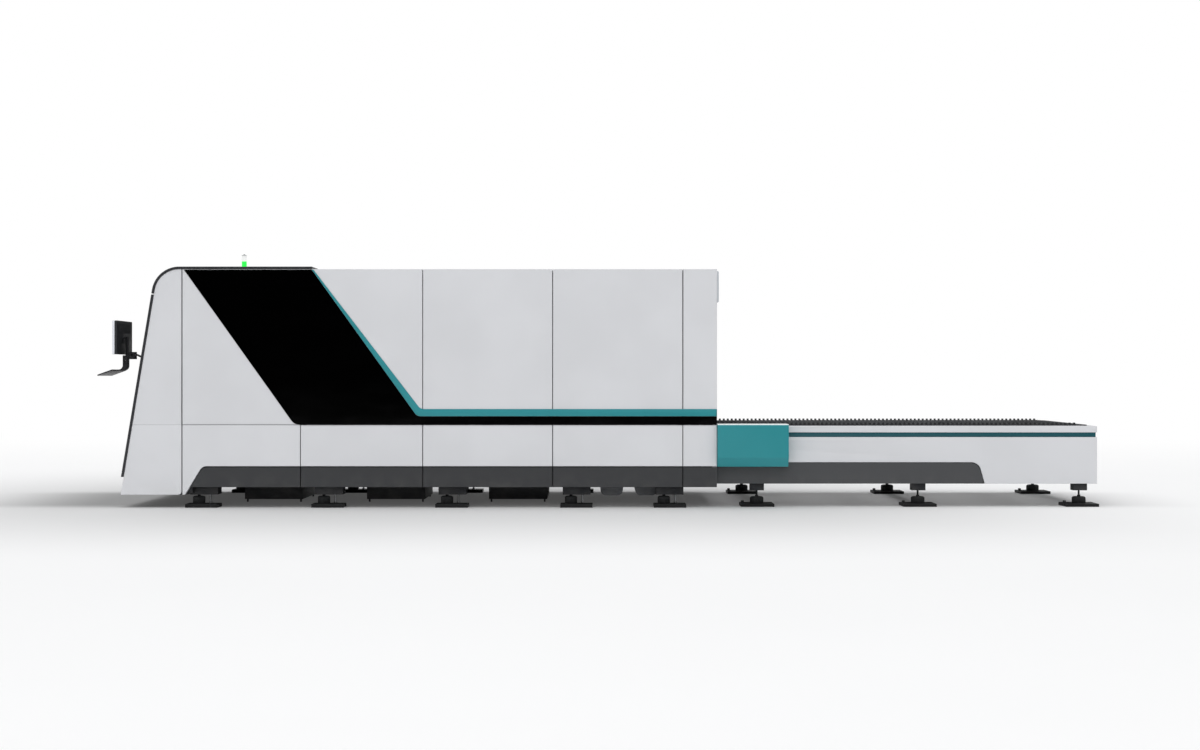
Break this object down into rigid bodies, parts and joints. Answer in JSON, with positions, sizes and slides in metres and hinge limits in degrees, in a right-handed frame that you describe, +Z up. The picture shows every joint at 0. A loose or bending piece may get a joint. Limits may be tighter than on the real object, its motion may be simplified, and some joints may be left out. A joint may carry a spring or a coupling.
{
  "type": "sheet metal laser cutting machine",
  "caption": "Enclosed laser cutting machine with a leaning nose, a swing-out console and a shuttle table whose slatted pallets run in through a lift door.",
  "frame": {"origin": "on the floor, under the middle of the machine's length and on its centre line", "axes": "+X along the machine from the nose to the shuttle table, -Y the operator's side, +Z up"},
  "size_m": [8.454, 2.355, 2.198],
  "materials": {
    "light_paint": "fine satin powder coat",
    "skirt_paint": "satin powder coat",
    "front_paint": "satin powder coat",
    "black_gloss": "mirror gloss",
    "teal_paint": "satin",
    "frame_paint": "matt primer",
    "foot_steel": "dark oiled",
    "plain_steel": "ground",
    "rail_steel": "ground bright",
    "gantry_paint": "satin",
    "head_shell": "satin",
    "nozzle_copper": "turned",
    "slat_steel": "hot rolled, heat stained",
    "pallet_steel": "dull, dusty",
    "wheel_steel": "turned",
    "chain_steel": "oiled",
    "motor_paint": "satin",
    "duct_paint": "dusty",
    "cart_paint": "matt",
    "housing_paint": "satin",
    "light_shell": "satin",
    "green_lens": "lit lens",
    "clear_lens": "ribbed lens",
    "door_glass": "laser safety glass",
    "handle_steel": "polished",
    "console_paint": "satin",
    "key_plastic": "matt",
    "stop_red": "gloss",
    "monitor_dark": "fine grain",
    "monitor_light": "fine grain",
    "display": "dark display"
  },
  "bodies": {
    "machine": {"bed_frame": "frame_paint", "foot_pads": "foot_steel", "levelling_jacks": "foot_steel", "anchor_bolts": "plain_steel", "gantry_rails": "rail_steel", "pallet_tracks": "frame_paint", "cabin_frame": "frame_paint", "side_upper_panels": "light_paint", "side_lower_panels": "light_paint", "skirt_panels": "skirt_paint", "side_gloss_panels": "black_gloss", "teal_trims": "teal_paint", "roof_panels": "light_paint", "roof_front_cover": "front_paint", "nose_cheeks": "light_paint", "nose_pan": "front_paint", "nose_front_panels": "front_paint", "exit_wall": "light_paint", "door_head_housing": "housing_paint", "stack_light_body": "light_shell", "stack_light_green": "green_lens", "stack_light_clear": "clear_lens", "table_frame": "frame_paint", "table_side_panels": "light_paint", "drive_cover": "teal_paint", "drive_motor": "motor_paint", "drive_chains": "chain_steel", "extraction_ducts": "duct_paint", "console_bracket": "console_paint", "stop_box": "console_paint"},
    "front_door": {"front_door": "front_paint", "front_door_window": "door_glass", "front_door_handle": "handle_steel"},
    "lift_door_lower": {"lift_door_lower": "light_paint"},
    "lift_door_upper": {"lift_door_upper": "light_paint"},
    "gantry": {"gantry_beam": "gantry_paint"},
    "cross_carriage": {"cross_carriage": "plain_steel"},
    "cutting_head": {"cutting_head": "head_shell", "cutting_nozzle": "nozzle_copper"},
    "pallet_a": {"pallet_a_frame": "pallet_steel", "pallet_a_slats": "slat_steel"},
    "pallet_a_wheels_inner": {"pallet_a_axle_inner": "wheel_steel"},
    "pallet_a_wheels_outer": {"pallet_a_axle_outer": "wheel_steel"},
    "pallet_b": {"pallet_b_frame": "pallet_steel", "pallet_b_slats": "slat_steel"},
    "pallet_b_wheels_inner": {"pallet_b_axle_inner": "wheel_steel"},
    "pallet_b_wheels_outer": {"pallet_b_axle_outer": "wheel_steel"},
    "drive_shaft": {"drive_shaft": "plain_steel"},
    "idler_shaft": {"idler_shaft": "plain_steel"},
    "scrap_cart_1": {"scrap_cart_1": "cart_paint"},
    "scrap_cart_2": {"scrap_cart_2": "cart_paint"},
    "scrap_cart_3": {"scrap_cart_3": "cart_paint"},
    "console_arm": {"console_arm": "console_paint"},
    "console_head": {"console_post": "console_paint", "keyboard_tray": "console_paint", "keyboard": "key_plastic"},
    "emergency_stop": {"emergency_stop": "stop_red"},
    "monitor": {"monitor_back": "monitor_dark", "monitor_front": "monitor_light", "monitor_screen": "display"}
  },
  "joints": [
    {"name": "front_door_hinge", "type": "hinge", "parent": "machine", "child": "front_door", "pos_m": [-3.72758, 0.3, 1.796], "axis": [0, 1, 0], "range_deg": [0, 80]},
    {"name": "lift_door_lower_slide", "type": "slide", "parent": "machine", "child": "lift_door_lower", "axis": [0, 0, 1], "range_m": [0, 0.816]},
    {"name": "lift_door_upper_slide", "type": "slide", "parent": "machine", "child": "lift_door_upper", "axis": [0, 0, 1], "range_m": [0, 0.408]},
    {"name": "gantry_slide", "type": "slide", "parent": "machine", "child": "gantry", "axis": [1, 0, 0], "range_m": [0, 3]},
    {"name": "cross_slide", "type": "slide", "parent": "gantry", "child": "cross_carriage", "axis": [0, 1, 0], "range_m": [-0.76, 0.76]},
    {"name": "head_slide", "type": "slide", "parent": "cross_carriage", "child": "cutting_head", "axis": [0, 0, 1], "range_m": [-0.12, 0]},
    {"name": "pallet_a_slide", "type": "slide", "parent": "machine", "child": "pallet_a", "axis": [-1, 0, 0], "range_m": [0, 3.24]},
    {"name": "pallet_b_slide", "type": "slide", "parent": "machine", "child": "pallet_b", "axis": [1, 0, 0], "range_m": [0, 3.24]},
    {"name": "pallet_a_inner_roll", "type": "hinge", "parent": "pallet_a", "child": "pallet_a_wheels_inner", "pos_m": [1.022, 0, 0.635], "axis": [0, 1, 0], "continuous": true},
    {"name": "pallet_a_outer_roll", "type": "hinge", "parent": "pallet_a", "child": "pallet_a_wheels_outer", "pos_m": [4.15, 0, 0.635], "axis": [0, 1, 0], "continuous": true},
    {"name": "pallet_b_inner_roll", "type": "hinge", "parent": "pallet_b", "child": "pallet_b_wheels_inner", "pos_m": [-2.218, 0, 0.385], "axis": [0, 1, 0], "continuous": true},
    {"name": "pallet_b_outer_roll", "type": "hinge", "parent": "pallet_b", "child": "pallet_b_wheels_outer", "pos_m": [0.91, 0, 0.385], "axis": [0, 1, 0], "continuous": true},
    {"name": "drive_shaft_spin", "type": "hinge", "parent": "machine", "child": "drive_shaft", "pos_m": [1.32, 0, 0.53], "axis": [0, 1, 0], "continuous": true},
    {"name": "idler_shaft_spin", "type": "hinge", "parent": "machine", "child": "idler_shaft", "pos_m": [4.06, 0, 0.53], "axis": [0, 1, 0], "continuous": true},
    {"name": "scrap_cart_1_roll", "type": "slide", "parent": "machine", "child": "scrap_cart_1", "axis": [0, -1, 0], "range_m": [0, 1.2]},
    {"name": "scrap_cart_2_roll", "type": "slide", "parent": "machine", "child": "scrap_cart_2", "axis": [0, -1, 0], "range_m": [0, 1.2]},
    {"name": "scrap_cart_3_roll", "type": "slide", "parent": "machine", "child": "scrap_cart_3", "axis": [0, -1, 0], "range_m": [0, 1.2]},
    {"name": "console_arm_swing", "type": "hinge", "parent": "machine", "child": "console_arm", "pos_m": [-3.85703, -0.85, 1.288], "axis": [0, 0, 1], "range_deg": [-20, 20]},
    {"name": "console_head_swing", "type": "hinge", "parent": "console_arm", "child": "console_head", "pos_m": [-3.94103, -0.85, 1.288], "axis": [0, 0, 1], "range_deg": [-20, 20]},
    {"name": "emergency_stop_press", "type": "slide", "parent": "machine", "child": "emergency_stop", "axis": [1, 0, 0], "range_m": [0, 0.004], "stiffness_N_per_m": 2000, "springref_m": -0.002},
    {"name": "monitor_tilt", "type": "hinge", "parent": "console_head", "child": "monitor", "pos_m": [-4.01733, -0.85, 1.4325], "axis": [0, 1, 0], "range_deg": [-5, 15]}
  ],
  "couplings": [
    {"joint": "lift_door_upper_slide", "follows": "lift_door_lower_slide", "ratio": 0.5},
    {"joint": "pallet_b_slide", "follows": "pallet_a_slide", "ratio": 1},
    {"joint": "pallet_a_inner_roll", "follows": "pallet_a_slide", "rad_per_m": -33.67},
    {"joint": "pallet_a_outer_roll", "follows": "pallet_a_slide", "rad_per_m": -33.67},
    {"joint": "pallet_b_inner_roll", "follows": "pallet_a_slide", "rad_per_m": 33.67},
    {"joint": "pallet_b_outer_roll", "follows": "pallet_a_slide", "rad_per_m": 33.67},
    {"joint": "drive_shaft_spin", "follows": "pallet_a_slide", "rad_per_m": -19.12},
    {"joint": "idler_shaft_spin", "follows": "pallet_a_slide", "rad_per_m": -19.12}
  ]
}
